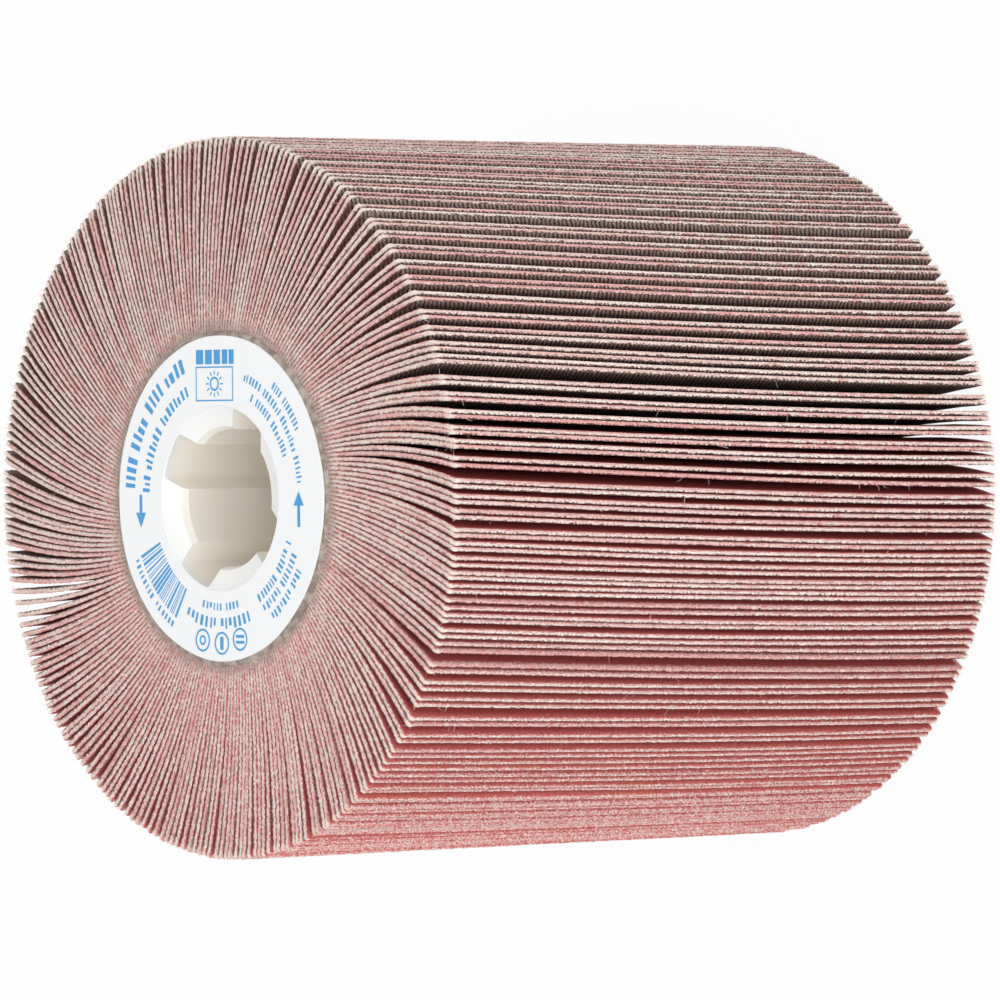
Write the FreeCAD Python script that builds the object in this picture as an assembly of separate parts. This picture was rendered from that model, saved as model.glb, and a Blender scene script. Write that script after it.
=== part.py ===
import FreeCAD, Part
import math
import os

# Flap wheel for a keyed spindle, in millimetres and degrees.
# The axis is +Z. The plain end stands on Z = 0 and the labelled end is on top.

# Overall sizes
wheel_diameter = 100.0
flap_width = 100.0
end_step = 0.3

# Moulded hub: a keyed sleeve with a two-stage lead-in at each end.
# hub_wall is what is left outside the floors of the keyways
bore_diameter = 19.1
hub_wall = 3.3
keyway_count = 4
keyway_width = 7.0
keyway_floor_diameter = 25.4
keyway_corner_radius = 0.6
lead_in_depth = 1.0
lead_in_throat_diameter = 19.9
throat_depth = 1.0

# Ribs on the outside of the hub, which lock it in the resin
rib_count = 8
rib_width = 2.4
rib_height = 1.2
rib_end_inset = 4.0

# Resin core: the flaps leave it at core_diameter, and its ends rise to a collar under the label
core_diameter = 48.6
collar_diameter = 47.2

# Label ring on the end of the hub and the collar
label_diameter = 45.2
label_hole_diameter = 25.6
label_thickness = 0.2

# Abrasive flaps, packed round the core at flap_pitch. Each curves back in a few straight runs.
# flap_lean is the mean angle to the radius, and the two shares change it from root to tip
flap_pitch = 0.596
flap_runs = 3
flap_thickness = 0.5
flap_lean = 11.3
lean_share_at_root = 0.78
lean_share_at_tip = 1.26

# The lean drifts round the wheel: waves per turn, size in degrees, place of the crest in degrees
lean_waves = [
    (1, 1.4, 107.0),
    (2, 1.9, -121.0),
    (3, 1.2, -57.0),
    (4, 1.4, -81.0),
    (5, 0.8, 157.0),
]

# Tips close up in pairs and wander, by shares of the room between them, and end unevenly
pair_closing_share = 0.14
scatter_share = 0.08
tip_unevenness = 0.25
scatter_step = 2.4
unevenness_step = 1.7

# Wider gaps between the tips: place of the gap in degrees, extra width in shares of the same room
wide_gaps = [(-44.0, 2.0), (147.0, 1.6)]
wide_gap_reach = 11.0

# Worked-out sizes
wheel_radius = wheel_diameter / 2
bore_radius = bore_diameter / 2
keyway_floor_radius = keyway_floor_diameter / 2
hub_radius = keyway_floor_radius + hub_wall
core_radius = core_diameter / 2
core_length = flap_width + 2 * end_step
half_flap = flap_thickness / 2
flap_count = 2 * round(math.pi * core_radius / flap_pitch)
tip_room = 2 * math.pi * wheel_radius / flap_count - flap_thickness
overcut = 1.0


def polar(radius, angle, z=0.0):
    return FreeCAD.Vector(radius * math.cos(angle), radius * math.sin(angle), z)


def cylinder(radius, height, z=0.0):
    return Part.makeCylinder(radius, height, FreeCAD.Vector(0, 0, z))


# A key-shaped bar from the axis out to a round floor, used for each keyway
def keyway_bar(angle):
    half_width = keyway_width / 2
    flank_end = math.sqrt(keyway_floor_radius**2 - half_width**2)
    corner_out = FreeCAD.Vector(flank_end, -half_width, -overcut)
    corner_back = FreeCAD.Vector(flank_end, half_width, -overcut)
    floor_middle = FreeCAD.Vector(keyway_floor_radius, 0, -overcut)
    start_out = FreeCAD.Vector(0, -half_width, -overcut)
    start_back = FreeCAD.Vector(0, half_width, -overcut)
    outline = Part.Wire([
        Part.makeLine(start_out, corner_out),
        Part.Arc(corner_out, floor_middle, corner_back).toShape(),
        Part.makeLine(corner_back, start_back),
        Part.makeLine(start_back, start_out),
    ])
    bar = Part.Face(outline).extrude(FreeCAD.Vector(0, 0, core_length + 2 * overcut))
    floor_edges = [
        edge for edge in bar.Edges
        if edge.BoundBox.ZLength > core_length and edge.BoundBox.XMin > bore_radius
    ]
    bar = bar.makeFillet(keyway_corner_radius, floor_edges)
    bar.rotate(FreeCAD.Vector(0, 0, 0), FreeCAD.Vector(0, 0, 1), angle)
    return bar


# The bore as one solid of revolution: a wide cone, a narrow cone and the straight wall, at both ends
def bore_core():
    lead_in = lead_in_depth
    throat = lead_in_depth + throat_depth
    stations = [
        (keyway_floor_radius, 0.0),
        (lead_in_throat_diameter / 2, lead_in),
        (bore_radius, throat),
        (bore_radius, core_length - throat),
        (lead_in_throat_diameter / 2, core_length - lead_in),
        (keyway_floor_radius, core_length),
    ]
    points = [FreeCAD.Vector(0, 0, 0)]
    points += [FreeCAD.Vector(radius, 0, z) for radius, z in stations]
    points += [FreeCAD.Vector(0, 0, core_length), FreeCAD.Vector(0, 0, 0)]
    profile = Part.Face(Part.makePolygon(points))
    return profile.revolve(FreeCAD.Vector(0, 0, 0), FreeCAD.Vector(0, 0, 1), 360)


# The outside of the hub with its ribs, which stop short of both ends
def hub_blank():
    rib_length = core_length - 2 * rib_end_inset
    rib_reach = hub_radius + rib_height
    blank = cylinder(hub_radius, core_length)
    ribs = []
    for index in range(rib_count):
        rib = Part.makeBox(rib_reach, rib_width, rib_length, FreeCAD.Vector(0, -rib_width / 2, rib_end_inset))
        rib.rotate(FreeCAD.Vector(0, 0, 0), FreeCAD.Vector(0, 0, 1), 360 * (index + 0.5) / rib_count)
        ribs.append(rib)
    return blank.fuse(ribs).removeSplitter()


def make_hub(blank):
    keyways = [keyway_bar(360 * index / keyway_count) for index in range(keyway_count)]
    return blank.cut([bore_core()] + keyways)


# Angle between a flap and the radius, halfway out, for a root at this place on the core
def lean_at(root_angle):
    lean = flap_lean
    for waves, size, crest in lean_waves:
        lean += size * math.cos(waves * root_angle - math.radians(crest))
    return math.radians(lean)


# How far the flap has turned back at this radius. Its slope grows evenly from root to tip
def turned_back(root_angle, radius):
    free_length = wheel_radius - core_radius
    stretch = math.log(radius / core_radius)
    growth = (radius - core_radius - core_radius * stretch) / free_length
    shares = lean_share_at_root * stretch + (lean_share_at_tip - lean_share_at_root) * growth
    return math.tan(lean_at(root_angle)) * shares


# Tangent of the flap's angle to the radius at this radius
def slope_at(root_angle, radius):
    reach = (radius - core_radius) / (wheel_radius - core_radius)
    share = lean_share_at_root + (lean_share_at_tip - lean_share_at_root) * reach
    return math.tan(lean_at(root_angle)) * share


# Sideways shift of one tip: towards its partner, a wander, and away from each wide gap
def tip_shift(index, root_angle):
    partner = pair_closing_share if index % 2 == 0 else -pair_closing_share
    shift = partner + scatter_share * math.sin(scatter_step * index)
    for place, width in wide_gaps:
        away = (math.degrees(root_angle) - place + 180) % 360 - 180
        side = 1 if away > 0 else -1
        shift += side * width / 2 * math.exp(-abs(away) / wide_gap_reach)
    return shift * tip_room


# Centre line of one flap at a radius, as an angle round the wheel
def flap_angle(index, radius):
    root_angle = 2 * math.pi * (index + 0.5) / flap_count
    reach = (radius - core_radius) / (wheel_radius - core_radius)
    sideways = tip_shift(index, root_angle) * reach / radius
    return root_angle - turned_back(root_angle, radius) + sideways


# Both faces of one flap, each as points from root to tip
def flap_faces(index):
    root_angle = 2 * math.pi * (index + 0.5) / flap_count
    tip_radius = wheel_radius - tip_unevenness * (0.5 + 0.5 * math.sin(unevenness_step * index))
    trailing, leading = [], []
    for station in range(flap_runs + 1):
        radius = core_radius + (tip_radius - core_radius) * station / flap_runs
        across = math.atan(slope_at(root_angle, radius))
        half_angle = math.asin(half_flap / (radius * math.cos(across)))
        centre = flap_angle(index, radius)
        trailing.append(polar(radius, centre - half_angle, end_step))
        leading.append(polar(radius, centre + half_angle, end_step))
    return trailing, leading


# One closed outline round all the flaps: out along one face, across the tip and back along the other
def flap_outline():
    points = []
    for index in range(flap_count):
        trailing, leading = flap_faces(index)
        points += trailing
        points += reversed(leading)
    points.append(points[0])
    return Part.makePolygon(points)


# The resin core and its flaps are cast together, so they are one solid
def make_flap_pack(hub_outside):
    flaps = Part.Face(flap_outline()).extrude(FreeCAD.Vector(0, 0, flap_width))
    collar = cylinder(collar_diameter / 2, core_length)
    return flaps.fuse(collar).cut(hub_outside)


def make_label():
    disc = cylinder(label_diameter / 2, label_thickness, core_length)
    hole = cylinder(label_hole_diameter / 2, label_thickness + 2 * overcut, core_length - overcut)
    return disc.cut(hole)


os.makedirs("parts", exist_ok=True)
hub_outside = hub_blank()
nodes = {
    "hub": make_hub(hub_outside),
    "flap_pack": make_flap_pack(hub_outside),
    "label_ring": make_label(),
}
for name, shape in nodes.items():
    shape.exportStep("parts/" + name + ".step")
    print(name, "solids", len(shape.Solids), "valid", shape.isValid(), "mm3", round(shape.Volume, 1))
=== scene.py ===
import bpy
import math
import numpy as np
from mathutils import Matrix, Vector


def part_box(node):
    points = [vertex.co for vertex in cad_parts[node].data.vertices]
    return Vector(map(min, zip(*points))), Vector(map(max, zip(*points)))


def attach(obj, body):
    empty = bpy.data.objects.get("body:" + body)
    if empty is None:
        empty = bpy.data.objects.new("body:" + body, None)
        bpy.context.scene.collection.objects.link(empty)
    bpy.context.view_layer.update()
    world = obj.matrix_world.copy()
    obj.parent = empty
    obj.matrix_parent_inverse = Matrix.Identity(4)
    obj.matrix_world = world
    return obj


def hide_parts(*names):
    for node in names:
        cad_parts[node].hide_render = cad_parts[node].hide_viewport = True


join = np.concatenate

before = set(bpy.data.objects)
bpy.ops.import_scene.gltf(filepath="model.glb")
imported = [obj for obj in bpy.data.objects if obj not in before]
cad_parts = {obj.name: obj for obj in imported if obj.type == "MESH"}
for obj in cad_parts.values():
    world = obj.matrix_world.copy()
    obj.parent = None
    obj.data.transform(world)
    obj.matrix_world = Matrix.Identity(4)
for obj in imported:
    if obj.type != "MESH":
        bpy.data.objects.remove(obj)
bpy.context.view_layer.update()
print("frame loaded")

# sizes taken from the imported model, in metres
mm = 0.001
packLow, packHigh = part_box("flap_pack")
labelLow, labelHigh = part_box("label_ring")
wheelRadius = (packHigh[0] - packLow[0]) / 2
coreTop = packHigh[2]
labelTop = labelHigh[2]
labelRadius = (labelHigh[0] - labelLow[0]) / 2
endGap = 0.3 * mm  # step from the core's ends down to the flaps
wheelMiddle = Vector((0, 0, coreTop / 2))
chance = np.random.default_rng(100)

# places read off the photograph are angles on the labelled end, counted from its right-hand side
photoTurn = math.radians(-61)


def fromPhoto(degreesOnFace):
    return np.radians(degreesOnFace) + photoTurn


def addObject(name, data):
    thing = bpy.data.objects.new(name, data)
    bpy.context.scene.collection.objects.link(thing)
    return thing


# camera of the photograph
view = {
    "fromAxis": 49.39,  # degrees between the line of sight and the wheel's axis
    "roll": 0.95,  # degrees
    "distance": 1.2389,  # metres from the wheel's middle
    "lens": 314.9,  # millimetres, on a sensor 36 wide
    "offset": (-0.00035, 0.00087),  # of the wheel's middle from the line of sight, in metres
}


def makeCamera():
    tilt = math.radians(view["fromAxis"])
    roll = math.radians(view["roll"])
    # the wheel's axis, and the two directions across its face, as the camera sees them
    axis = Vector((-math.sin(tilt) * math.cos(roll), -math.sin(tilt) * math.sin(roll), math.cos(tilt)))
    across = Vector((0, 1, 0)).cross(axis).normalized()
    upward = axis.cross(across)
    seen = Matrix((across, upward, axis)).transposed()
    faceRight = Vector((math.cos(photoTurn), math.sin(photoTurn), 0))
    faceUp = Vector((-math.sin(photoTurn), math.cos(photoTurn), 0))
    real = Matrix((faceRight, faceUp, Vector((0, 0, 1)))).transposed()
    turn = real @ seen.transposed()
    reach = Vector((*view["offset"], -view["distance"]))
    data = bpy.data.cameras.new("camera")
    data.lens = view["lens"]
    camera = addObject("camera", data)
    camera.matrix_world = Matrix.Translation(wheelMiddle - turn @ reach) @ turn.to_4x4()
    bpy.context.scene.camera = camera
    return faceRight, faceUp


faceRight, faceUp = makeCamera()

# shader helpers; a tree is the node tree of a material, of the world or of a group

def srgb(red, green, blue):
    parts = np.array([red, green, blue]) / 255
    straight = np.where(parts <= 0.04045, parts / 12.92, ((parts + 0.055) / 1.055) ** 2.4)
    return (*straight.tolist(), 1.0)


def newMaterial(name):
    material = bpy.data.materials.new(name)
    material.use_nodes = True
    tree = material.node_tree
    return material, tree, tree.nodes.new("ShaderNodeTexCoord").outputs["Object"]


# each value goes to the node's input of that name: a socket is linked, anything else is set
def feed(node, values):
    for name, value in values.items():
        if isinstance(value, bpy.types.NodeSocket):
            node.id_data.links.new(value, node.inputs[name])
        else:
            node.inputs[name].default_value = value


def addMix(tree, factor, first, second):
    node = tree.nodes.new("ShaderNodeMix")
    node.data_type = "RGBA"
    feed(node, {"Factor": factor, "A": first, "B": second})
    return node.outputs["Result"]


def addMath(tree, operation, first, second=0.0, third=0.0):
    node = tree.nodes.new("ShaderNodeMath")
    node.operation = operation
    feed(node, {0: first, 1: second, 2: third})
    return node.outputs[0]


def times(tree, first, second):
    return addMath(tree, "MULTIPLY", first, second)


def less(tree, first, second):
    return addMath(tree, "SUBTRACT", first, second)


def addRange(tree, value, low, high, toLow=0.0, toHigh=1.0):
    node = tree.nodes.new("ShaderNodeMapRange")
    node.interpolation_type = "SMOOTHSTEP"
    feed(node, {"Value": value, "From Min": low, "From Max": high, "To Min": toLow, "To Max": toHigh})
    return node.outputs["Result"]


def addClamp(tree, value):
    node = tree.nodes.new("ShaderNodeClamp")
    feed(node, {"Value": value})
    return node.outputs["Result"]


# noise whose lumps have the stated size, in the vector's own unit
def addNoise(tree, vector, lumpSize, detail=2.0, roughness=0.5):
    node = tree.nodes.new("ShaderNodeTexNoise")
    scale = addMath(tree, "DIVIDE", 1.0, lumpSize)
    feed(node, {"Vector": vector, "Scale": scale, "Detail": detail, "Roughness": roughness})
    return node.outputs["Fac"]


def addSplit(tree, vector):
    node = tree.nodes.new("ShaderNodeSeparateXYZ")
    feed(node, {"Vector": vector})
    return node.outputs


# distance from the wheel's axis: the root of x squared plus y squared
def addRadius(tree, split):
    squares = [times(tree, split[axis], split[axis]) for axis in "XY"]
    return addMath(tree, "SQRT", addMath(tree, "ADD", *squares))


# distance from the middle of the wheel's width
def addFromMiddle(tree, split):
    return addMath(tree, "ABSOLUTE", less(tree, split["Z"], coreTop / 2))


def addBump(tree, height, distance, strength):
    node = tree.nodes.new("ShaderNodeBump")
    feed(node, {"Height": height, "Distance": distance, "Strength": strength})
    feed(tree.nodes["Principled BSDF"], {"Normal": node.outputs["Normal"]})


# the surface's own values; under is how much light goes in, and reaches how far, by colour
def dress(tree, colour, roughness, specular=0.5, under=0.0, reaches=(1, 1, 1)):
    feed(tree.nodes["Principled BSDF"], {
        "Base Color": colour, "Roughness": roughness, "Specular IOR Level": specular,
        "Subsurface Weight": under, "Subsurface Radius": reaches, "Subsurface Scale": 1.0,
    })


# 1 for light that goes to the camera, straight or by a mirroring or clear surface
def addSeen(tree):
    path = tree.nodes.new("ShaderNodeLightPath").outputs
    seen = addMath(tree, "MAXIMUM", path["Is Camera Ray"], path["Is Glossy Ray"])
    return addMath(tree, "MAXIMUM", seen, path["Is Transmission Ray"])


def useGroup(tree, group, vector, **values):
    node = tree.nodes.new("ShaderNodeGroup")
    node.node_tree = group
    feed(node, {"Vector": vector, **values})
    return node.outputs


def newGroup(name, inputs, outputs):
    tree = bpy.data.node_groups.new(name, "ShaderNodeTree")
    newSocket = tree.interface.new_socket
    newSocket(name="Vector", in_out="INPUT", socket_type="NodeSocketVector")
    for socketName, value in inputs.items():
        newSocket(name=socketName, in_out="INPUT", socket_type="NodeSocketFloat").default_value = value
    for socketName in outputs:
        newSocket(name=socketName, in_out="OUTPUT", socket_type="NodeSocketFloat")
    start = tree.nodes.new("NodeGroupInput").outputs
    return tree, start, tree.nodes.new("NodeGroupOutput")


# speckle of grains or fibre ends: two noises, one at the stated size and one at a third of it
def makeSpeckleGroup():
    tree, start, end = newGroup("speckle", {"Size": 0.0003, "Sharpness": 4.0}, ["Mask"])
    coarse = addNoise(tree, start["Vector"], start["Size"], 1.0)
    fine = addNoise(tree, start["Vector"], addMath(tree, "DIVIDE", start["Size"], 3.1), 1.0)
    centred = less(tree, addMath(tree, "ADD", coarse, fine), 1.0)
    spread = addMath(tree, "MULTIPLY_ADD", centred, start["Sharpness"], 0.5)
    feed(end, {"Mask": addClamp(tree, spread)})
    return tree


# twill ribs, a wave along the axis that slants with the radius and that noise pushes about
def makeRibGroup():
    tree, start, end = newGroup("clothRibs", {"Pitch": 0.0008, "Wander": 0.6, "Slant": 0.7}, ["Mask"])
    split = addSplit(tree, start["Vector"])
    aside = times(tree, addRadius(tree, split), start["Slant"])
    turns = addMath(tree, "DIVIDE", less(tree, split["Z"], aside), start["Pitch"])
    wander = addNoise(tree, start["Vector"], 1 / 700)
    pushed = addMath(tree, "MULTIPLY_ADD", wander, start["Wander"], turns)
    wave = addMath(tree, "SINE", times(tree, pushed, 2 * math.pi))
    feed(end, {"Mask": addRange(tree, wave, -1.0, 1.0)})
    return tree


# how far resin has soaked up the flaps: 1 up to the inner radius, 0 past the outer one, torn by noise
def makeSoakGroup():
    tree, start, end = newGroup("resinSoak", {"Inner": 0.0236, "Outer": 0.0252}, ["Mask"])
    torn = less(tree, addNoise(tree, start["Vector"], 1 / 600, 3), 0.5)
    place = addMath(tree, "MULTIPLY_ADD", torn, 0.004, addRadius(tree, addSplit(tree, start["Vector"])))
    past = less(tree, place, start["Inner"])
    width = less(tree, start["Outer"], start["Inner"])
    dry = addClamp(tree, addMath(tree, "DIVIDE", past, width))
    feed(end, {"Mask": less(tree, 1.0, dry)})
    return tree


# millimetres from a place on a flap to the nearer and to the farther of two cut edges, the tip and the
# closest end; Fringe is Near with the ends counted 0.05 mm further off; End is 1 beside the end cuts,
# away from the tip. Back is how far this flap's tip stands inside the wheel's radius
def makeEdgeGroup():
    tree, start, end = newGroup("edgeDistance", {"Back": 0.0}, ["Near", "Far", "Fringe", "End"])
    split = addSplit(tree, start["Vector"])
    tip = less(tree, wheelRadius, start["Back"])
    fromTip = less(tree, tip, addRadius(tree, split))
    fromEnd = less(tree, coreTop / 2 - endGap, addFromMiddle(tree, split))
    fringeEnd = addMath(tree, "ADD", fromEnd, 0.05 * mm)
    ways = {"Near": ("MINIMUM", fromEnd), "Far": ("MAXIMUM", fromEnd), "Fringe": ("MINIMUM", fringeEnd)}
    for name, (operation, other) in ways.items():
        distance = addMath(tree, operation, fromTip, other)
        feed(end, {name: times(tree, distance, 1 / mm)})
    atEnd = addRange(tree, fromEnd, 0.8 * mm, 1.4 * mm, 1.0, 0.0)
    offTip = addRange(tree, fromTip, 0.6 * mm, 2.0 * mm)
    feed(end, {"End": times(tree, atEnd, offTip)})
    return tree


speckle = makeSpeckleGroup()
edgeDistance = makeEdgeGroup()
clothRibs = makeRibGroup()
resinSoak = makeSoakGroup()

# soft studio light: a white world all round, and five lamps
light = {
    "worldStrength": 0.55,
    # direction as shares of the face's right, its up and the axis, distance and width in metres, watts
    "lamps": {
        "axisLamp": (0.15, -0.05, 1.0, 1.5, 0.9, 5.6),
        "frontLamp": (0.76, -0.05, 0.65, 1.4, 0.6, 3.4),
        "sideLamp": (0.95, -0.16, 0.3, 1.5, 0.7, 3.6),
        "topLamp": (0.3, 0.9, 0.3, 1.0, 0.8, 0.9),
        "lowLamp": (0.6, -0.75, 0.2, 1.1, 0.7, 1.3),
    },
}


def makeLamp(name, right, up, out, distance, width, power):
    data = bpy.data.lights.new(name, "AREA")
    data.shape = "DISK"
    data.size = width
    data.energy = power
    lamp = addObject(name, data)
    aim = (faceRight * right + faceUp * up + Vector((0, 0, out))).normalized()
    lamp.location = wheelMiddle + aim * distance
    lamp.rotation_euler = aim.to_track_quat("Z", "Y").to_euler()


# the camera sees the world pure white, and the wheel gets its stated strength
def makeLight():
    for name, values in light["lamps"].items():
        makeLamp(name, *values)
    world = bpy.data.worlds.new("studio")
    bpy.context.scene.world = world
    world.use_nodes = True
    tree = world.node_tree
    strength = addRange(tree, addSeen(tree), 0.0, 1.0, light["worldStrength"], 1.0)
    feed(tree.nodes["Background"], {"Color": (1, 1, 1, 1), "Strength": strength})
    bpy.context.scene.view_settings.view_transform = "Standard"


makeLight()
print("camera and light set")

# colours as they read in the photograph, under its own light
tint = {name: srgb(*colour) for name, colour in {
    "grainDeep": (204, 86, 82),
    "grainLight": (248, 158, 150),
    "grainShadow": (158, 48, 43),
    "backingDark": (46, 36, 31),
    "backingLight": (204, 190, 178),
    "backingShadow": (70, 54, 47),
    # painted shade on the backing beside the end cuts
    "backingEndShade": (112, 68, 60),
    "cutCream": (255, 246, 236),
    "cutPink": (240, 180, 175),
    "cutDark": (184, 134, 124),
    # painted shade on the cut cloth of the end cuts
    "cutEndShade": (226, 190, 178),
    "grainEdge": (238, 150, 145),
    "grainEdgeDeep": (196, 88, 84),
    "soaked": (172, 150, 142),
    "resin": (180, 168, 158),
    "resinDark": (132, 114, 104),
    # warm tint inside the bore, partly painted shade
    "plastic": (255, 249, 238),
    "plasticFlow": (252, 242, 226),
    "plasticEnd": (244, 244, 243),
    "paper": (246, 247, 248),
    "paperShade": (238, 240, 243),
    "ink": (58, 150, 212),
    "inkWorn": (120, 184, 226),
    "fibre": (250, 238, 226),
    # painted shadow in the notches of the cut edges
    "notchShadow": (88, 40, 35),
}.items()}


def readAttribute(tree, name):
    node = tree.nodes.new("ShaderNodeAttribute")
    node.attribute_name = name
    return node.outputs["Fac"]


def edgePlaces(tree, place):
    return useGroup(tree, edgeDistance, place, Back=readAttribute(tree, "tipBack"))


def addSpeckle(tree, place, size, sharpness):
    return useGroup(tree, speckle, place, Size=size, Sharpness=sharpness)["Mask"]


# the stated colour over another, as strongly as resin has soaked in
def addSoak(tree, place, base, strength):
    soak = useGroup(tree, resinSoak, place)["Mask"]
    return addMix(tree, times(tree, soak, strength), base, tint["soaked"])


def grainFaceMaterial():
    material, tree, place = newMaterial("abrasiveGrain")
    grains = addSpeckle(tree, place, 0.00028, 3.0)
    tone = readAttribute(tree, "flapTone")
    lit = times(tree, grains, addRange(tree, tone, 0.0, 1.0, 0.6, 1.0))
    base = addMix(tree, lit, tint["grainDeep"], tint["grainLight"])
    # darker between the flaps, and a torn cream fringe that the cut pushed over this side
    edge = edgePlaces(tree, place)
    shaded = addMix(tree, addRange(tree, edge["Near"], 0.14, 1.3, 0.0, 0.72), base, tint["grainShadow"])
    tufts = addNoise(tree, place, 0.00034, 2, 0.6)
    ownReach = addRange(tree, tone, 0.0, 1.0, -0.98, -0.46)
    reach = addMath(tree, "MULTIPLY_ADD", tufts, 2.0, ownReach)
    past = less(tree, edge["Fringe"], reach)
    fringe = addRange(tree, past, -0.05, 0.08, 0.85, 0.0)
    flecks = addMix(tree, grains, tint["cutPink"], tint["cutCream"])
    dress(tree, addMix(tree, fringe, shaded, flecks), 0.85, 0.3)
    addBump(tree, grains, 0.00003, 0.5)
    return material


def backingMaterial():
    material, tree, place = newMaterial("backingTwill")
    ribs = useGroup(tree, clothRibs, place, Pitch=0.00074, Wander=1.1, Slant=0.72)["Mask"]
    yarn = addSpeckle(tree, place, 0.00035, 2.5)
    weave = addMath(tree, "MULTIPLY_ADD", ribs, 0.7, times(tree, yarn, 0.3))
    base = addMix(tree, weave, tint["backingDark"], tint["backingLight"])
    # painted shadow, darker between the flaps, and a red-brown painted shade beside the end cuts, where
    # the gaps lie in shade
    edge = edgePlaces(tree, place)
    shaded = addMix(tree, addRange(tree, edge["Near"], 0.5, 2.4, 0.0, 0.6), base, tint["backingShadow"])
    endShade = times(tree, edge["End"], 0.85)
    dress(tree, addMix(tree, endShade, shaded, tint["backingEndShade"]), 0.92, 0.2)
    addBump(tree, weave, 0.00012, 0.8)
    return material


def cutClothMaterial():
    material, tree, place = newMaterial("cutCloth")
    # streaks along the edge, other ones on each flap: the noise reads the way along, the place
    # across the cut and the flap's own tone
    edge = edgePlaces(tree, place)
    height = times(tree, addSplit(tree, place)["Z"], 1 / mm)
    along = addMath(tree, "ADD", height, edge["Far"])
    tone = readAttribute(tree, "flapTone")
    across = readAttribute(tree, "edgePlace")
    way = tree.nodes.new("ShaderNodeCombineXYZ")
    for axis, value, share in (("X", along, 0.32), ("Y", across, 1.8), ("Z", tone, 90.0)):
        feed(way, {axis: times(tree, value, share)})
    streak = addNoise(tree, way.outputs["Vector"], 1.0, 3, 0.6)
    away = times(tree, less(tree, tone, 0.5), 0.22)
    pinkness = addRange(tree, addMath(tree, "ADD", streak, away), 0.40, 0.66)
    base = addMix(tree, pinkness, tint["cutCream"], tint["cutPink"])
    # painted shade: the cut cloth is duller and pinker on the end cuts
    base = addMix(tree, times(tree, edge["End"], 0.4), base, tint["cutEndShade"])
    # dark spots between the fibre ends, weaker on the end cuts
    ends = addSpeckle(tree, place, 0.00026, 4.5)
    spotStrength = addMath(tree, "MULTIPLY_ADD", edge["End"], -0.25, 0.55)
    spots = times(tree, addRange(tree, ends, 0.0, 0.3, 1.0, 0.0), spotStrength)
    marked = addMix(tree, spots, base, tint["cutDark"])
    # painted shadow of notches between the yarn ends, cut in from the backing side
    yarns = times(tree, addNoise(tree, place, 0.00042, 1), 1.28)
    bite = less(tree, across, yarns)
    notchShadowStrength = addMath(tree, "MULTIPLY_ADD", edge["End"], -0.22, 0.92)
    notchShadows = times(tree, addRange(tree, bite, 0.0, 0.16), notchShadowStrength)
    notchShadowed = addMix(tree, notchShadows, marked, tint["notchShadow"])
    # real frayed fibre at the flap corners, brightened further as a painted highlight where the corners
    # catch the light
    corner = addRange(tree, edge["Far"], 0.4, 1.5, 0.8, 0.0)
    frayedAndHighlit = addMix(tree, corner, notchShadowed, tint["fibre"])
    dress(tree, addSoak(tree, place, frayedAndHighlit, 0.75), 0.9, 0.25)
    addBump(tree, ends, 0.00006, 0.8)
    return material


def grainEdgeMaterial():
    material, tree, place = newMaterial("grainEdge")
    grains = addSpeckle(tree, place, 0.00025, 3.5)
    base = addMix(tree, grains, tint["grainEdgeDeep"], tint["grainEdge"])
    tufts = addRange(tree, addNoise(tree, place, 0.0004, 2, 0.6), 0.46, 0.62, 0.0, 0.85)
    base = addMix(tree, tufts, base, tint["cutCream"])
    dress(tree, addSoak(tree, place, base, 0.6), 0.8, 0.3)
    addBump(tree, grains, 0.00005, 0.8)
    return material


def resinMaterial():
    material, tree, place = newMaterial("castResin")
    cloudy = addRange(tree, addNoise(tree, place, 0.0016, 4, 0.6), 0.35, 0.65)
    base = addMix(tree, cloudy, tint["resinDark"], tint["resin"])
    dress(tree, base, 0.38, under=0.15, reaches=(0.0008, 0.0007, 0.0006))
    addBump(tree, addNoise(tree, place, 0.0005, 3), 0.00008, 0.8)
    return material


def plasticMaterial():
    material, tree, place = newMaterial("mouldedPlastic")
    flow = addRange(tree, addNoise(tree, place, 0.012, 2), 0.3, 0.7, 0.0, 0.25)
    inside = addMix(tree, flow, tint["plastic"], tint["plasticFlow"])
    # warmer inside the bore as painted shade, whiter on the end faces and in the lead-ins
    fromMiddle = addFromMiddle(tree, addSplit(tree, place))
    atEnds = addRange(tree, fromMiddle, coreTop / 2 - 3 * mm, coreTop / 2)
    roughness = addRange(tree, addNoise(tree, place, 0.001, 3), 0.3, 0.7, 0.34, 0.46)
    base = addMix(tree, atEnds, inside, tint["plasticEnd"])
    dress(tree, base, roughness, under=0.2, reaches=(0.0015, 0.0012, 0.0009))
    addBump(tree, addNoise(tree, place, 0.0012, 2), 0.00002, 0.4)
    return material


def paperMaterial():
    material, tree, place = newMaterial("labelPaper")
    fibres = addNoise(tree, place, 0.0004, 4, 0.6)
    shade = addRange(tree, fibres, 0.3, 0.7, 0.0, 0.35)
    dress(tree, addMix(tree, shade, tint["paper"], tint["paperShade"]), 0.5)
    addBump(tree, fibres, 0.00001, 0.4)
    return material


def inkMaterial():
    material, tree, place = newMaterial("blueInk")
    worn = addSpeckle(tree, place, 0.0002, 2.5)
    thin = addRange(tree, worn, 0.45, 1.0, 0.0, 0.5)
    dress(tree, addMix(tree, thin, tint["ink"], tint["inkWorn"]), 0.45)
    return material


def fibreMaterial():
    material, tree, place = newMaterial("cottonFibre")
    patch = addRange(tree, addNoise(tree, place, 0.001, 1), 0.35, 0.65)
    dress(tree, addMix(tree, patch, tint["fibre"], tint["cutPink"]), 0.8)
    return material


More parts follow.
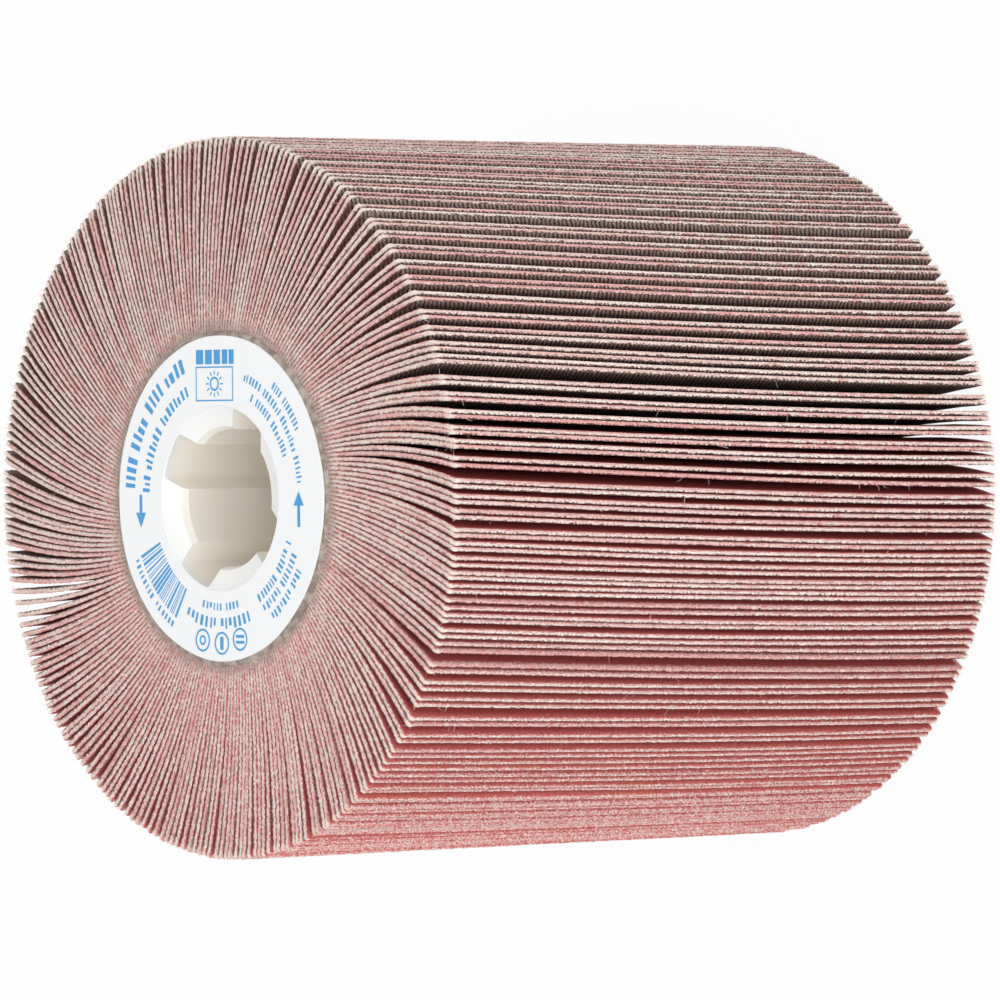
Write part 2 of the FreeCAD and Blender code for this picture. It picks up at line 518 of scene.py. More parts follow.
# a piece from a vertex array, a quad array, one material number for each quad, and triangles if any
def makeMesh(name, vertices, quads, materials, slots=None, smooth=False, triangles=()):
    triangles = np.asarray(triangles, dtype=np.int64).reshape(-1, 3)
    corners = join([quads.ravel(), triangles.ravel()])
    starts = join([np.arange(len(quads)) * 4, quads.size + np.arange(len(triangles)) * 3])
    mesh = bpy.data.meshes.new(name)
    mesh.vertices.add(len(vertices))
    mesh.vertices.foreach_set("co", vertices.astype(np.float32).ravel())
    mesh.loops.add(len(corners))
    mesh.loops.foreach_set("vertex_index", corners.astype(np.int32))
    mesh.polygons.add(len(starts))
    mesh.polygons.foreach_set("loop_start", starts.astype(np.int32))
    if slots is not None:
        mesh.polygons.foreach_set("material_index", slots.astype(np.int32))
    mesh.polygons.foreach_set("use_smooth", np.full(len(starts), smooth))
    mesh.update(calc_edges=True)
    mesh.validate()
    for material in materials:
        mesh.materials.append(material)
    return addObject(name, mesh)


# quads between neighbouring rows of a rows x columns grid, with either way closed on itself if asked
def gridQuads(rows, columns, closeRows=False, closeColumns=False):
    lastRow = rows if closeRows else rows - 1
    lastColumn = columns if closeColumns else columns - 1
    row, column = np.meshgrid(np.arange(lastRow), np.arange(lastColumn), indexing="ij")
    nextRow = (row + 1) % rows
    nextColumn = (column + 1) % columns
    corners = ((row, column), (nextRow, column), (nextRow, nextColumn), (row, nextColumn))
    return np.stack([down * columns + along for down, along in corners], -1).reshape(-1, 4)


# the same faces for many like parts, each with its own run of vertices
def repeated(faces, count, step):
    return (faces[None] + (np.arange(count) * step)[:, None, None]).reshape(-1, faces.shape[1])


# points at these radii, angles and heights round the axis
def aroundAxis(radius, angle, height):
    return np.stack([radius * np.cos(angle), radius * np.sin(angle), height], -1).reshape(-1, 3)


# degrees from a place to these angles, the short way round
def degreesFrom(place, angles):
    return np.degrees(np.angle(np.exp(1j * (angles - place))))


# flaps: all sizes in metres and degrees
flap = {
    "count": 256,
    "banks": 16,
    "rootRadius": 24.3 * mm,  # the flaps leave the resin here
    "innerRadius": 22.75 * mm,  # and start here, inside it
    "thickness": 0.575 * mm,
    "bevelWidth": 0.12 * mm,  # the cut edge falls back towards the grain side
    "bevelDepth": 0.26 * mm,
    "swell": 0.22,  # the cut edge is this share thicker on the wheel's ends,
    "swellStart": 29 * mm,  # from nothing at this radius
    "swellReach": 9 * mm,  # to all of it this much further out
    "lean": 11.3,
    "leanShareAtRoot": 0.78,
    "leanShareAtTip": 1.26,
    # waves per turn, size and place of the crest
    "leanWaves": ((1, 1.4, 107), (2, 1.9, -121), (3, 1.2, -57), (4, 1.4, -81), (5, 0.8, 157)),
    "leanScatter": 0.14,
    "pairShare": 0.08,  # share of the room that a pair's flaps take from the gap between them
    # more of it at these places of the photo: place, share and reach
    "pairs": ((37, 0.27, 33), (120, 0.10, 30), (-42, 0.14, 30)),
    "roomShape": 14.0,  # how even the rooms between tips are: more is more even
    "roomLimits": (0.30, 2.4),
    "roomMemory": 5.0,  # uneven rooms even out over this many flaps
    "farShare": 0.5,  # how far the plain end's rooms differ from the labelled end's
    "bow": 0.22 * mm,  # sideways bow half way out, at most
    "bowReach": 2.5,  # neighbouring flaps that bow alike
    "bend": (1.45, 1.1667),  # power by which a tip's shift grows on the way out, and its spread
    "bendReach": 3,
    "waveAlong": 0.12,  # waves along the width, in shares of the room
    "waveShares": (0.9, 0.6, 0.35),
    "tipInset": 0.05 * mm,  # keeps the leaning tips' corners inside the wheel's own outline
    "unevenTip": 0.22 * mm,
    # wide gaps, at places of the part's own frame: place, width at the plain end in shares of the
    # room, how much more it opens there and how suddenly
    "gaps": ((-46.4, 0.5, 0.3, 2.0), (147, 0.7, 1.0, 1.0)),
    "gapReach": 11,
    "gapLeast": 0.45,  # share of a gap's width that stays at the labelled end
    "twist": 3.3 * mm,  # the tips stand this much further round at the plain end
    "straighten": 1.6 * mm,  # and the roots further still by this, so the flaps lean less there
    "twistShares": (1.38, -0.38),  # how that grows: shares of the way down the width and of its cube
    # places of the photo where tips stand closer or wider: place, size in shares of the room, reach
    "gathers": ((-8, 1.5, 11), (206, -1.7, 8)),
    "slabRows": 6,
    "slabColumns": 13,
    "slabInset": 0.15 * mm,
    "slabShare": 0.94,  # the sheet is this share of the thickness, so the rim covers it
    "rimDepth": 1.4 * mm,
    "cornerSize": 0.35 * mm,
    "tipStations": 286,
    "topStations": 60,
    "bottomStations": 12,
    "fray": 0.19 * mm,
}
flapRoom = 2 * math.pi * wheelRadius / flap["count"] - flap["thickness"]
flapLow = endGap
flapHigh = coreTop - endGap
flapNumbers = np.arange(flap["count"])
rootAngles = 2 * np.pi * (flapNumbers + 0.5) / flap["count"]
flapLeans = np.full(flap["count"], float(flap["lean"]))
for waves, size, crest in flap["leanWaves"]:
    flapLeans += size * np.cos(waves * rootAngles - math.radians(crest))
pairCount = flap["count"] // 2
flapLeans = np.radians(flapLeans + np.repeat(chance.normal(0, flap["leanScatter"], pairCount), 2))
wavePhases = np.repeat(chance.uniform(0, 2 * np.pi, (3, pairCount)), 2, axis=1)
waveSizes = np.repeat(chance.uniform(0.3, 1, (3, pairCount)), 2, axis=1)
waveSizes *= flap["waveAlong"] * np.array(flap["waveShares"])[:, None]
tipBacks = flap["tipInset"] + flap["unevenTip"] * chance.uniform(0, 1, flap["count"])
tipRadii = wheelRadius - tipBacks
flapTones = chance.uniform(0, 1, flap["count"])


# a row of values round the wheel, each the mean of its neighbours under a bell curve
def blur(values, reach):
    away = (np.arange(len(values)) + len(values) // 2) % len(values) - len(values) // 2
    bell = np.exp(-0.5 * (away / reach) ** 2)
    return np.real(np.fft.ifft(np.fft.fft(values) * np.fft.fft(bell / bell.sum())))


# sum of uneven rooms between tips, less its own slow part
def tipWalk(rooms):
    walk = np.cumsum(rooms - rooms.mean())
    return walk - blur(walk, flap["roomMemory"])


# each flap's share, with a flat-topped bell at each stated place
pairShares = np.full(flap["count"], flap["pairShare"])
for place, size, reach in flap["pairs"]:
    pairShares += size * np.exp(-(degreesFrom(fromPhoto(place), rootAngles) / reach) ** 4)


# uneven rooms from each tip to the next, wider and narrower by turns where the flaps stand in pairs
def drawRooms():
    shape = flap["roomShape"]
    rooms = chance.gamma(shape, 1 / shape, flap["count"])
    rooms = rooms * (1 + 2 * pairShares * (1 - 2 * (flapNumbers % 2)))
    return np.clip(rooms, *flap["roomLimits"])


nearRooms = drawRooms()
farRooms = (1 - flap["farShare"]) * nearRooms + flap["farShare"] * drawRooms()
nearWalk = tipWalk(nearRooms)
farWalk = tipWalk(farRooms)
bows = blur(chance.normal(0, 1, flap["count"]), flap["bowReach"])
bows *= flap["bow"] / np.abs(bows).max()
bendPowers = blur(chance.normal(0, 1, flap["count"]), flap["bendReach"])
bendPowers = flap["bend"][0] + flap["bend"][1] * bendPowers


# sideways shift of each tip: the rooms between tips are uneven, waves run along the width, and on
# both sides of a wide gap the tips stand away from it, most at the plain end
def tipShift(number, height):
    root = rootAngles[number]
    along = (height - flapLow) / (flapHigh - flapLow)
    shift = nearWalk[number] * along + farWalk[number] * (1 - along)
    for order in range(len(waveSizes)):
        wave = np.sin((order + 1) * np.pi * along + wavePhases[order][number])
        shift = shift + waveSizes[order][number] * wave
    for place, width, farOpening, farSharpness in flap["gaps"]:
        away = degreesFrom(math.radians(place), root)
        opening = width * (1 - along + farOpening * (1 - along) ** farSharpness)
        opening = np.maximum(opening, width * flap["gapLeast"])
        shift = shift + np.sign(away) * opening / 2 * np.exp(-np.abs(away) / flap["gapReach"])
    for place, size, reach in flap["gathers"]:
        away = degreesFrom(fromPhoto(place), root) / reach
        shift = shift - size * away * np.exp(0.5 - away ** 2 / 2)
    return shift * flapRoom


# angle of a flap's middle surface: root place, less the twist towards the plain end, less the turn
# back, whose slope to the radius grows evenly from root to tip, plus the tip's sideways shift, grown
# by a power of the way out, and the bow, a half wave on the way out
def flapAngle(number, radius, height):
    root = flap["rootRadius"]
    free = wheelRadius - root
    stretch = np.log(radius / root)
    growth = (radius - root - root * stretch) / free
    atRoot = flap["leanShareAtRoot"]
    share = atRoot * stretch + (flap["leanShareAtTip"] - atRoot) * growth
    reach = np.clip((radius - root) / free, 0, None)
    down = (flapHigh - height) / (flapHigh - flapLow)
    turned = flap["twistShares"][0] * down + flap["twistShares"][1] * down ** 3
    twist = (flap["twist"] + flap["straighten"]) / wheelRadius * turned
    aside = (tipShift(number, height) + flap["straighten"] * turned) * reach ** bendPowers[number]
    aside = aside + bows[number] * np.sin(np.pi * reach)
    return rootAngles[number] - twist - np.tan(flapLeans[number]) * share + aside / radius


# a point of the flap: its middle surface moved sideways across the cloth by the stated offset
def flapPoint(number, radius, height, offset):
    step = 0.02 * mm  # for the slope
    angle = flapAngle(number, radius, height)
    slope = radius * (flapAngle(number, radius + step, height) - angle) / step
    length = np.sqrt(1 + slope ** 2)
    outX = (np.cos(angle) - slope * np.sin(angle)) / length
    outY = (np.sin(angle) + slope * np.cos(angle)) / length
    x = radius * np.cos(angle) - offset * outY
    y = radius * np.sin(angle) + offset * outX
    return np.stack(np.broadcast_arrays(x, y, height), -1)


# the sheet of one bank of flaps, a little narrower than the cut rim that goes round it
def slabSurface(numbers):
    inset = flap["slabInset"]
    half = flap["thickness"] / 2
    rows, columns = flap["slabRows"], flap["slabColumns"]
    number = numbers[:, None, None, None]
    share = np.linspace(0, 1, rows)[None, None, :, None]
    free = tipRadii[numbers][:, None, None, None] - inset - flap["innerRadius"]
    radius = flap["innerRadius"] + free * share
    height = np.linspace(flapLow + inset, flapHigh - inset, columns)[None, None, None, :]
    side = np.array([half, -half])[None, :, None, None] * flap["slabShare"]
    return flapPoint(number, radius, height, side).reshape(-1, 3)


# both sides of the sheet and the strip round its outline, for each flap of a bank
def slabQuads(count):
    rows, columns = flap["slabRows"], flap["slabColumns"]
    face = gridQuads(rows, columns)
    size = rows * columns
    front = face[:, ::-1]
    back = face + size
    ring = join([
        np.arange(columns), np.arange(2, rows + 1) * columns - 1,
        np.arange(columns - 2, -1, -1) + (rows - 1) * columns, np.arange(rows - 2, 0, -1) * columns,
    ])
    after = np.roll(ring, -1)
    edge = np.stack([ring, ring + size, after + size, after], -1)
    quads = join([front, back, edge])
    slots = join([np.zeros(len(front)), np.ones(len(back)), np.full(len(edge), 2)])
    return repeated(quads, count, 2 * size), np.tile(slots, count)


# the cut rim: a U-shaped path up the plain end, along the tip and down the labelled end of a flap,
# as places on the sheet with the outward direction at each
def rimPath(numbers):
    corner = flap["cornerSize"]
    inner = flap["innerRadius"]
    tips = tipRadii[numbers][:, None]
    ones = np.ones_like(tips)
    bottomShare = np.linspace(0, 1, flap["bottomStations"])[None]
    topShare = np.linspace(1, 0, flap["topStations"])[None]
    heights = np.linspace(flapLow + corner, flapHigh - corner, flap["tipStations"])[None]
    bottomRadius = inner + (tips - corner - inner) * bottomShare
    topRadius = inner + (tips - corner - inner) * topShare
    radius = join([bottomRadius, tips + 0 * heights, topRadius], 1)
    height = ones * join([flapLow + 0 * bottomShare, heights, flapHigh + 0 * topShare], 1)
    outRadius = join([0 * bottomShare, 0 * heights + 1, 0 * topShare], 1) * ones
    outHeight = join([0 * bottomShare - 1, 0 * heights, 0 * topShare + 1], 1) * ones
    first = flap["bottomStations"]
    last = first + flap["tipStations"] - 1
    slant = math.sqrt(0.5)
    for station, up in ((first - 1, -1), (first, -1), (last, 1), (last + 1, 1)):
        outRadius[:, station] = slant
        outHeight[:, station] = up * slant
    return radius, height, outRadius, outHeight


# profile of the rim, carried along the path: a wedge whose point lies inside the sheet, with grain
# face, bevel, cut cloth and backing round it, its corners pushed about by the fray
def rimSurface(numbers):
    radius, height, outRadius, outHeight = rimPath(numbers)
    fray = flap["fray"] * (1 - 0.5 * np.abs(outHeight))
    shape = radius.shape
    swollen = np.clip((radius - flap["swellStart"]) / flap["swellReach"], 0, 1) * np.abs(outHeight)
    half = flap["thickness"] / 2 * (1 + flap["swell"] * swollen)
    boundary = half - flap["bevelWidth"]
    # every second station stands back, by its own amount
    odd = np.arange(shape[1])[None] % 2
    teeth = odd * chance.uniform(0.25, 1, shape)
    teeth = teeth + (1 - odd) * chance.uniform(0, 0.45, shape)
    lumps = np.clip(chance.normal(0, 1, shape), -2, 2)
    chips = chance.uniform(0, 1, shape)
    # bevel and lumps are weaker on the end cuts
    calm = 1 - 0.6 * np.abs(outHeight)
    profile = [
        (flap["bevelDepth"] * calm * (0.5 + chips), half * (1 + 0.06 * lumps)),
        (0.5 * fray * (1 - chips), boundary + half * 0.12 * lumps * calm),
        (fray * (0.1 + 1.3 * teeth), -half * (1.1 - 0.45 * teeth * (1 - 0.65 * np.abs(outHeight)))),
        (flap["rimDepth"] * np.ones(shape), np.zeros(shape)),
    ]
    number = numbers[:, None]
    points = [flapPoint(number, radius - outRadius * inward, height - outHeight * inward, offset)
              for inward, offset in profile]
    return np.stack(points, 2).reshape(-1, 3)


def rimQuads(count):
    stations = flap["tipStations"] + flap["topStations"] + flap["bottomStations"]
    around = 4
    quads = gridQuads(stations, around, closeColumns=True)
    slots = np.tile([3, 2, 1, 0], stations - 1)
    firstCap = np.arange(around)[None]
    lastCap = (stations - 1) * around + firstCap[:, ::-1]
    total = stations * around
    quads = join([quads, firstCap, lastCap])
    slots = join([slots, [2, 2]])
    return repeated(quads, count, total), np.tile(slots, count), total


def addAttribute(piece, name, values):
    attribute = piece.data.attributes.new(name, "FLOAT", "POINT")
    attribute.data.foreach_set("value", values.astype(np.float32))


# material numbers on the faces: 0 grain face, 1 backing, 2 cut cloth, 3 grain edge
def makeFlaps(materials):
    perBank = flap["count"] // flap["banks"]
    for bank in range(flap["banks"]):
        numbers = flapNumbers[bank * perBank:(bank + 1) * perBank]
        slab = slabSurface(numbers)
        quadsOfSlab, slotsOfSlab = slabQuads(perBank)
        rim = rimSurface(numbers)
        quadsOfRim, slotsOfRim, total = rimQuads(perBank)
        vertices = join([slab, rim])
        quads = join([quadsOfSlab, quadsOfRim + len(slab)])
        slots = join([slotsOfSlab, slotsOfRim])
        piece = makeMesh(f"flapBank{bank + 1:02d}", vertices, quads, materials, slots)
        for name, values in (("flapTone", flapTones), ("tipBack", tipBacks)):
            inSlab = np.repeat(values[numbers], len(slab) // perBank)
            addAttribute(piece, name, join([inSlab, np.repeat(values[numbers], total)]))
        edgePlace = join([np.zeros(len(slab)), np.tile([0.0, 0.0, 1.0, 1.0], len(rim) // 4)])
        addAttribute(piece, "edgePlace", edgePlace)
        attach(piece, "root")
        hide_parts("flap_pack")


makeFlaps([grainFaceMaterial(), backingMaterial(), cutClothMaterial(), grainEdgeMaterial()])
print("flaps made")

# resin core with a raised, uneven collar at each end, in metres
resin = {
    "innerRadius": 16.0 * mm,
    "collarRadius": 23.15 * mm,
    "wallRadius": 24.45 * mm,
    "top": coreTop - 0.02 * mm,  # just under the label
    "fall": 1.1 * mm,  # the collar's edge comes down over this width
    "fallStart": 0.35,  # share of it inside the collar's own radius
    "drop": 0.75 * mm,
    "ledge": 0.3 * mm,
    "around": 600,
    "fallSteps": 9,
    # place in the photo, height and reach in degrees
    "lumps": ((37, 0.55 * mm, 8), (-45, 0.4 * mm, 12), (-20, 0.15 * mm, 8),
              (205, 0.2 * mm, 12), (120, 0.35 * mm, 5)),
    "waves": (7, 17, 41, 97, 143),
    "waveSize": 0.9 * mm,
    "ripples": (0.06 * mm, 0.05 * mm),
}


# the collar's own radius: even, plus bumps at stated places of the face, plus fine waves
def collarRadius(angle, salt):
    radius = resin["collarRadius"] * np.ones_like(angle)
    for place, size, reach in resin["lumps"]:
        radius = radius + size * np.exp(-(degreesFrom(fromPhoto(place), angle) / reach) ** 2)
    for waves in resin["waves"]:
        radius = radius + resin["waveSize"] / (waves + 6) * np.sin(waves * angle + salt * waves)
    return radius


# a closed profile turned round the axis: inner wall, flat end, fall by a cosine to the outer wall, and
# the same at the other end; small ripples lower the fall
def makeResin():
    angle = np.linspace(0, 2 * np.pi, resin["around"], endpoint=False)[:, None]
    steps = np.linspace(0, 1, resin["fallSteps"])[None]
    fine = resin["ripples"][0] * np.sin(83 * angle) * np.sin(np.pi * steps)
    ripple = fine + resin["ripples"][1] * np.sin(31 * angle + 9 * steps)
    fallen = resin["drop"] * (0.5 - 0.5 * np.cos(np.pi * steps)) + np.abs(ripple)
    outward = resin["fall"] * (steps - resin["fallStart"])
    topRadius = collarRadius(angle, 1.0) + outward
    lowRadius = collarRadius(angle + 2.0, 2.0) + outward
    topHeight = resin["top"] - fallen
    inner = np.full_like(angle, resin["innerRadius"])
    wall = np.full_like(angle, resin["wallRadius"])
    radius = join([inner, lowRadius, wall, wall, topRadius[:, ::-1], inner], 1)
    height = join([
        0 * inner, fallen, fallen[:, -1:] + resin["ledge"],
        topHeight[:, -1:] - resin["ledge"], topHeight[:, ::-1], np.full_like(angle, resin["top"])], 1)
    points = aroundAxis(radius, angle, height)
    quads = gridQuads(resin["around"], radius.shape[1], closeRows=True, closeColumns=True)
    piece = makeMesh("resinCore", points, quads, [resinMaterial()], smooth=True)
    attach(piece, "root")
    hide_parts("flap_pack")


makeResin()
print("resin made")

# printed label, in metres
label = {
    "low": coreTop - 0.01 * mm,
    "top": labelTop - 0.03 * mm,
    "hole": 12.8 * mm,
    "rim": 0.06 * mm,
    "inset": 0.1 * mm,
    "wobble": ((5, 0.05 * mm, 1.0), (11, 0.03 * mm, 0.0)),  # waves per turn, size, turn
    "around": 256,
    "inkLow": labelTop - 0.05 * mm,
    "inkTop": labelTop - 0.004 * mm,
}


# a flat ring with bevelled rims, cut a little unevenly: a closed profile turned round the axis
def makeLabel():
    angle = np.linspace(0, 2 * np.pi, label["around"], endpoint=False)[:, None]
    rim, low, top = label["rim"], label["low"], label["top"]
    outer = labelRadius - label["inset"] + sum(
        size * np.sin(waves * angle + turn) for waves, size, turn in label["wobble"])
    hole = np.full_like(angle, label["hole"])
    radius = join([outer, outer, outer - rim, hole + rim, hole, hole], 1)
    height = np.broadcast_to([low, top - rim, top, top, top - rim, low], radius.shape)
    points = aroundAxis(radius, angle, height)
    quads = gridQuads(label["around"], radius.shape[1], closeRows=True, closeColumns=True)
    piece = makeMesh("printedLabel", points, quads, [paperMaterial()])
    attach(piece, "root")
    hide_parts("label_ring")


makeLabel()

# what stands in place of the printing, in millimetres and degrees on the face as the photo shows it
ink = {
    # plain bars in place of the words at the top: left and right, all between two heights
    "wordBars": ((-4.9, -3.3), (-2.9, -1.4), (-1.0, 0.4), (0.8, 2.0), (2.3, 3.4)),
    "wordHeights": (18.5, 20.5),
    # a frame, each side as left, right, low and high, with a ring and rays in it
    "frame": ((-5.0, 3.2, 18.0, 18.2), (-5.0, 3.2, 13.4, 13.6),
              (-5.0, -4.8, 13.6, 18.0), (3.0, 3.2, 13.6, 18.0)),
    "sun": (-0.9, 15.8),
    "sunRing": (1.0, 0.3),
    "rays": ((1.25, 5), (1.85, 3)),  # radius and half width at each end
    "rayCount": 12,
    # rows of strokes: radius, height, from and to, width of a stroke, gap
    "rows": ((19.9, 2.1, 113, 176, 0.62, 0.55), (16.3, 1.5, 115, 177, 0.42, 0.44),
             (19.5, 1.1, 29, 52, 0.26, 0.36), (17.6, 1.1, 7, 72, 0.26, 0.36),
             (15.5, 1.1, 22, 62, 0.26, 0.36), (16.1, 1.15, -59, -21, 0.30, 0.40),
             (17.9, 1.15, -58, -25, 0.30, 0.40), (19.8, 1.15, -55, -29, 0.30, 0.40),
             (17.3, 1.5, 245, 290, 0.42, 0.5), (15.0, 1.0, 255, 285, 0.28, 0.4)),
    # direction arrows: the bar of each, then the two sides of its head
    "arrowBars": ((-17.8, -17.2, -2.0, 0.5), (16.9, 17.5, -3.9, -1.0)),
    "arrowHeads": ((((-18.6, -2.0), (-17.55, -4.0)), ((-16.4, -2.0), (-17.45, -4.0))),
                   (((17.15, 0.9), (16.1, -1.0)), ((17.25, 0.9), (18.3, -1.0)))),
    # a field of radial ticks, with a row of strokes under it
    "ticks": (14.6, 19.3, 204.5, 239.5),
    "tickWidths": [0.45, 0.45, 0.9, 1.35],
    "tickGaps": [0.6, 0.9, 1.3],
    "tickRow": (20.4, 0.9, 205, 239, 0.3, 0.5),
    # three plain rings: middle, and what is in it
    "signs": ((-4.0, -19.6, "ring"), (0.2, -20.0, "upright"), (4.2, -19.4, "level")),
    "signRing": (1.6, 0.28),
}
inkVertices = []
inkQuads = []


# a thin plate of ink whose outline is two rows of points
def addInk(firstRow, secondRow, closed=False):
    rows = np.stack([firstRow, secondRow], 1)
    along = rows[1, 0] - rows[0, 0]
    aside = rows[0, 1] - rows[0, 0]
    if along[0] * aside[1] - along[1] * aside[0] < 0:
        rows = rows[:, ::-1]
    # from the face as the photo shows it to the part's own directions, then a top and a bottom
    flat = rows @ np.array([faceRight[:2], faceUp[:2]]) * mm
    stations = len(flat)
    high = join([flat, np.full((stations, 2, 1), label["inkTop"])], -1)
    low = join([flat, np.full((stations, 2, 1), label["inkLow"])], -1)
    ring = join([high, low[:, ::-1]], 1)
    start = sum(len(part) for part in inkVertices)
    quads = gridQuads(stations, 4, closeRows=closed, closeColumns=True)
    if not closed:
        last = (stations - 1) * 4
        quads = join([quads, [[0, 1, 2, 3]], [[last + 3, last + 2, last + 1, last]]])
    inkVertices.append(ring.reshape(-1, 3))
    inkQuads.append(quads + start)


def onArc(radius, degrees):
    angle = np.radians(degrees)
    return np.stack([radius * np.cos(angle), radius * np.sin(angle)], -1)


# a bar between two radii and two directions
def addArcBar(inner, outer, fromDegrees, toDegrees):
    degrees = np.linspace(fromDegrees, toDegrees, int((toDegrees - fromDegrees) / 3) + 2)
    addInk(onArc(outer, degrees), onArc(inner, degrees))


# a row of short upright strokes along an arc, a few lower than the rest, with a wider gap now and then
def addArcStrokes(radius, height, fromDegrees, toDegrees, stroke, gap):
    toAngle = math.degrees(1 / radius)  # degrees for each millimetre along the arc
    place = fromDegrees
    left = chance.integers(4, 9)
    while place < toDegrees:
        width = stroke * chance.uniform(0.8, 1.5)
        size = height * (1.0 if chance.uniform() < 0.75 else 0.72)
        addArcBar(radius - height / 2, radius - height / 2 + size, place, place + width * toAngle)
        place += (width + gap * chance.uniform(0.8, 1.3)) * toAngle
        left -= 1
        if left == 0:
            place += 1.4 * gap * toAngle
            left = chance.integers(4, 9)


def addBar(left, right, low, high):
    addInk([(left, high), (right, high)], [(left, low), (right, low)])


def addRing(x, y, radius, width):
    turn = np.linspace(0, 360, 33)[:-1]
    middle = np.array([x, y])
    addInk(middle + onArc(radius - width, turn), middle + onArc(radius, turn), closed=True)


def addSign(x, y, middle):
    addRing(x, y, *ink["signRing"])
    if middle == "ring":
        addRing(x, y, 0.7, 0.3)
    elif middle == "upright":
        addBar(x - 0.35, x + 0.35, y - 0.9, y + 0.9)
    else:
        addBar(x - 0.9, x + 0.9, y + 0.2, y + 0.6)
        addBar(x - 0.9, x + 0.9, y - 0.6, y - 0.2)


def makeInk():
    for left, right in ink["wordBars"]:
        addBar(left, right, *ink["wordHeights"])
    for side in ink["frame"]:
        addBar(*side)
    addRing(*ink["sun"], *ink["sunRing"])
    for ray in range(ink["rayCount"]):
        turn = 360 / ink["rayCount"] * ray
        addInk(*(np.array(ink["sun"]) + onArc(radius, [turn - half, turn + half])
                 for radius, half in ink["rays"]))
    for row in ink["rows"]:
        addArcStrokes(*row)
    for bar, head in zip(ink["arrowBars"], ink["arrowHeads"]):
        addBar(*bar)
        addInk(*head)
    inner, outer, place, last = ink["ticks"]
    while place < last:
        width = chance.choice(ink["tickWidths"])
        addArcBar(inner, outer, place, place + width)
        place += width + chance.choice(ink["tickGaps"])
    addArcStrokes(*ink["tickRow"])
    for sign in ink["signs"]:
        addSign(*sign)
    piece = makeMesh("labelPrint", join(inkVertices), join(inkQuads), [inkMaterial()])
    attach(piece, "root")
    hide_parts("label_ring")


makeInk()
print("label made")

# loose threads and fuzz, in metres
thread = {
    "sides": 3,
    "steps": 4,
    "taper": 0.45,
    "margin": 0.06 * mm,  # they stay this far inside the wheel's own outline
    "atRims": 1500,
    "nearShare": 0.72,  # share of these at the labelled end
    "alongTips": 1000,
    "onFace": 1100,
    "atRoots": 900,
}


# one kind of fibre: thin tapered tubes along a bent line, the start plus the length times t times the
# first way and t squared times the second
def fibreTubes(start, first, second, length, thick):
    t = np.linspace(0, 1, thread["steps"])[None, :, None]
    line = start[:, None] + length[:, None, None] * (t * first[:, None] + t ** 2 * second[:, None])
    flat = np.linalg.norm(line[..., :2], axis=-1, keepdims=True)
    line[..., :2] *= np.minimum(1, (wheelRadius - thread["margin"]) / flat)
    line[..., 2] = np.clip(line[..., 2], thread["margin"], labelTop - thread["margin"])
    along = first / np.linalg.norm(first, axis=1, keepdims=True)
    helper = np.where(np.abs(along[:, 2:]) < 0.8, [[0, 0, 1.0]], [[1.0, 0, 0]])
    sideways = np.cross(along, helper)
    sideways /= np.linalg.norm(sideways, axis=1, keepdims=True)
    other = np.cross(along, sideways)
    turn = np.linspace(0, 2 * np.pi, thread["sides"], endpoint=False)
    cosine, sine = np.cos(turn)[None, :, None], np.sin(turn)[None, :, None]
    around = cosine * sideways[:, None] + sine * other[:, None]
    radius = thick[:, None] * np.linspace(1, thread["taper"], thread["steps"])[None]
    points = line[:, :, None] + around[:, None] * radius[:, :, None, None]
    return points.reshape(-1, 3)


# the quads of each tube and a triangle at both its ends
def fibreFaces(count):
    sides, steps = thread["sides"], thread["steps"]
    quads = gridQuads(steps, sides, closeColumns=True)[:, ::-1]
    last = (steps - 1) * sides
    caps = np.array([[2, 1, 0], [last, last + 1, last + 2]])
    return repeated(quads, count, sides * steps), repeated(caps, count, sides * steps)


def randomWay(count, bias):
    way = chance.normal(0, 1, (count, 3)) + bias
    return way / np.linalg.norm(way, axis=1, keepdims=True)


fibreLook = fibreMaterial()


# lengths and thicknesses between two limits each, given in millimetres
def makeFibres(name, start, bias, lengths, thicknesses):
    count = len(start)
    first = randomWay(count, bias)
    second = randomWay(count, 0.0) * chance.uniform(0.2, 1.1, (count, 1))
    length = chance.uniform(*lengths, count) * mm
    thick = chance.uniform(*thicknesses, count) * mm
    points = fibreTubes(start, first, second, length, thick)
    quads, caps = fibreFaces(count)
    piece = makeMesh(name, points, quads, [fibreLook], triangles=caps)
    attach(piece, "root")
    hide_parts("flap_pack")


# places on random flaps, between two radii given in millimetres
def pickEdge(count, radii, height, offset):
    number = chance.integers(0, flap["count"], count)
    radius = chance.uniform(*radii, count) * mm
    return flapPoint(number, radius, height, offset)


def acrossCut(count):
    half = flap["thickness"] / 2
    return chance.uniform(-half, half, count)


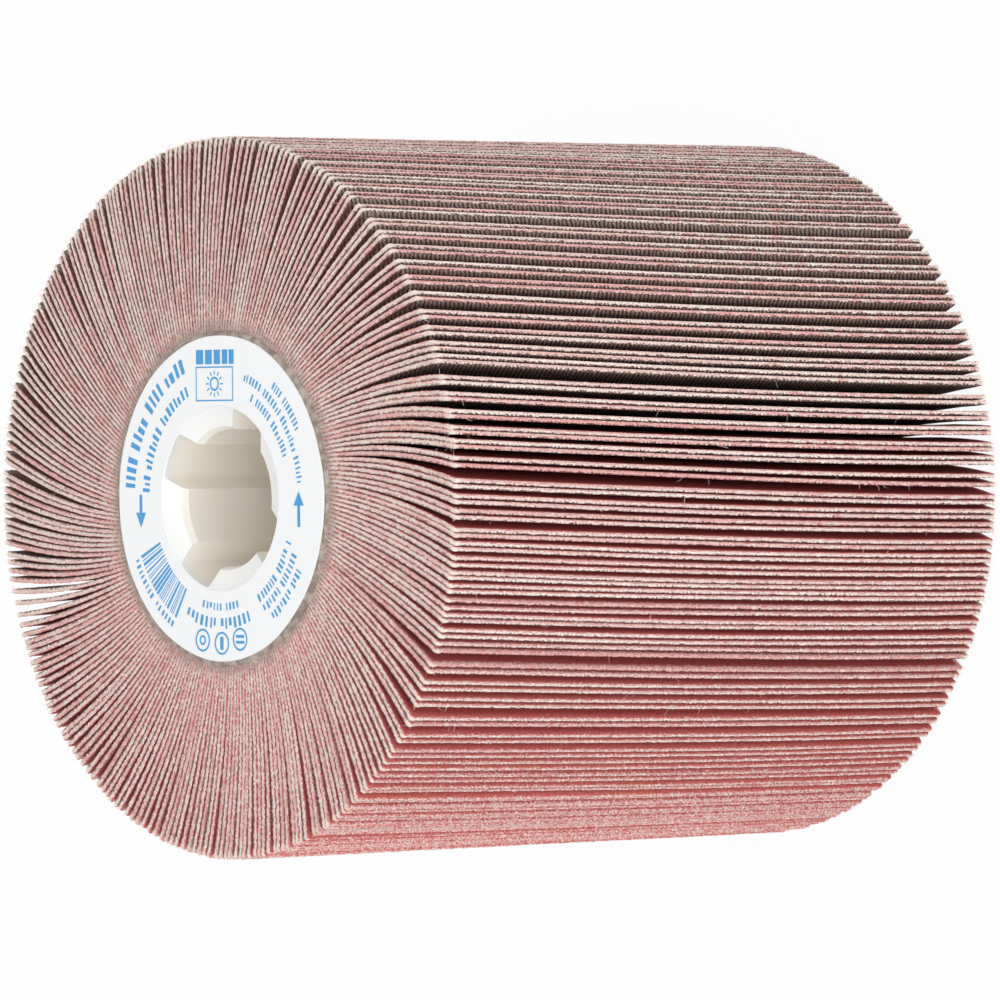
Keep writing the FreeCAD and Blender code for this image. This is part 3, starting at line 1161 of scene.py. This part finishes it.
def makeAllFibres():
    rim = wheelRadius / mm
    count = thread["atRims"]
    near = chance.uniform(0, 1, count) < thread["nearShare"]
    ends = np.where(near, flapHigh - 0.1 * mm, flapLow + 0.1 * mm)
    start = pickEdge(count, (rim - 0.9, rim - 0.25), ends, acrossCut(count))
    outward = start * (1, 1, 0) / wheelRadius
    bias = outward * 0.6 + near[:, None] * (0, 0, 0.5)
    makeFibres("rimFibres", start, bias, (0.3, 0.9), (0.022, 0.045))
    count = thread["alongTips"]
    heights = chance.uniform(flapLow, flapHigh, count)
    start = pickEdge(count, (rim - 0.35, rim - 0.2), heights, -flap["thickness"] / 2)
    across = np.stack([start[:, 1], -start[:, 0], 0 * start[:, 0]], -1) / wheelRadius
    makeFibres("tipFibres", start, across * 1.2, (0.3, 1.0), (0.022, 0.042))
    count = thread["onFace"]
    start = pickEdge(count, (26, 49), flapHigh, acrossCut(count))
    makeFibres("faceFibres", start, (0, 0, 0.3), (0.25, 0.9), (0.02, 0.04))
    count = thread["atRoots"]
    start = pickEdge(count, (23.7, 25.2), flapHigh + 0.02 * mm, acrossCut(count))
    makeFibres("rootFibres", start, (0, 0, 0.6), (0.25, 0.8), (0.02, 0.045))


makeAllFibres()
print("fibres made")

# floor, in metres
ground = {
    "size": 6.0,
    "grey": 0.93,
    "roughness": 0.9,
    "glow": 0.94,  # share of its white that no shadow reaches, for the camera only
}


def makeFloor():
    corners = np.array([[-1, -1, 0], [1, -1, 0], [1, 1, 0], [-1, 1, 0]]) * ground["size"] / 2
    material, tree = newMaterial("studioFloor")[:2]
    dress(tree, (*[ground["grey"]] * 3, 1), ground["roughness"])
    glow = tree.nodes.new("ShaderNodeEmission")
    mix = tree.nodes.new("ShaderNodeMixShader")
    seen = times(tree, addSeen(tree), ground["glow"])
    plain = tree.nodes["Principled BSDF"].outputs["BSDF"]
    feed(mix, {"Fac": seen, 1: plain, 2: glow.outputs["Emission"]})
    feed(tree.nodes["Material Output"], {"Surface": mix.outputs["Shader"]})
    makeMesh("studioFloor", corners, np.array([[0, 1, 2, 3]]), [material])


makeFloor()

# the hub stays the solid that it is, in its own plastic
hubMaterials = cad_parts["hub"].data.materials
hubMaterials.clear()
hubMaterials.append(plasticMaterial())
print("floor and hub made")
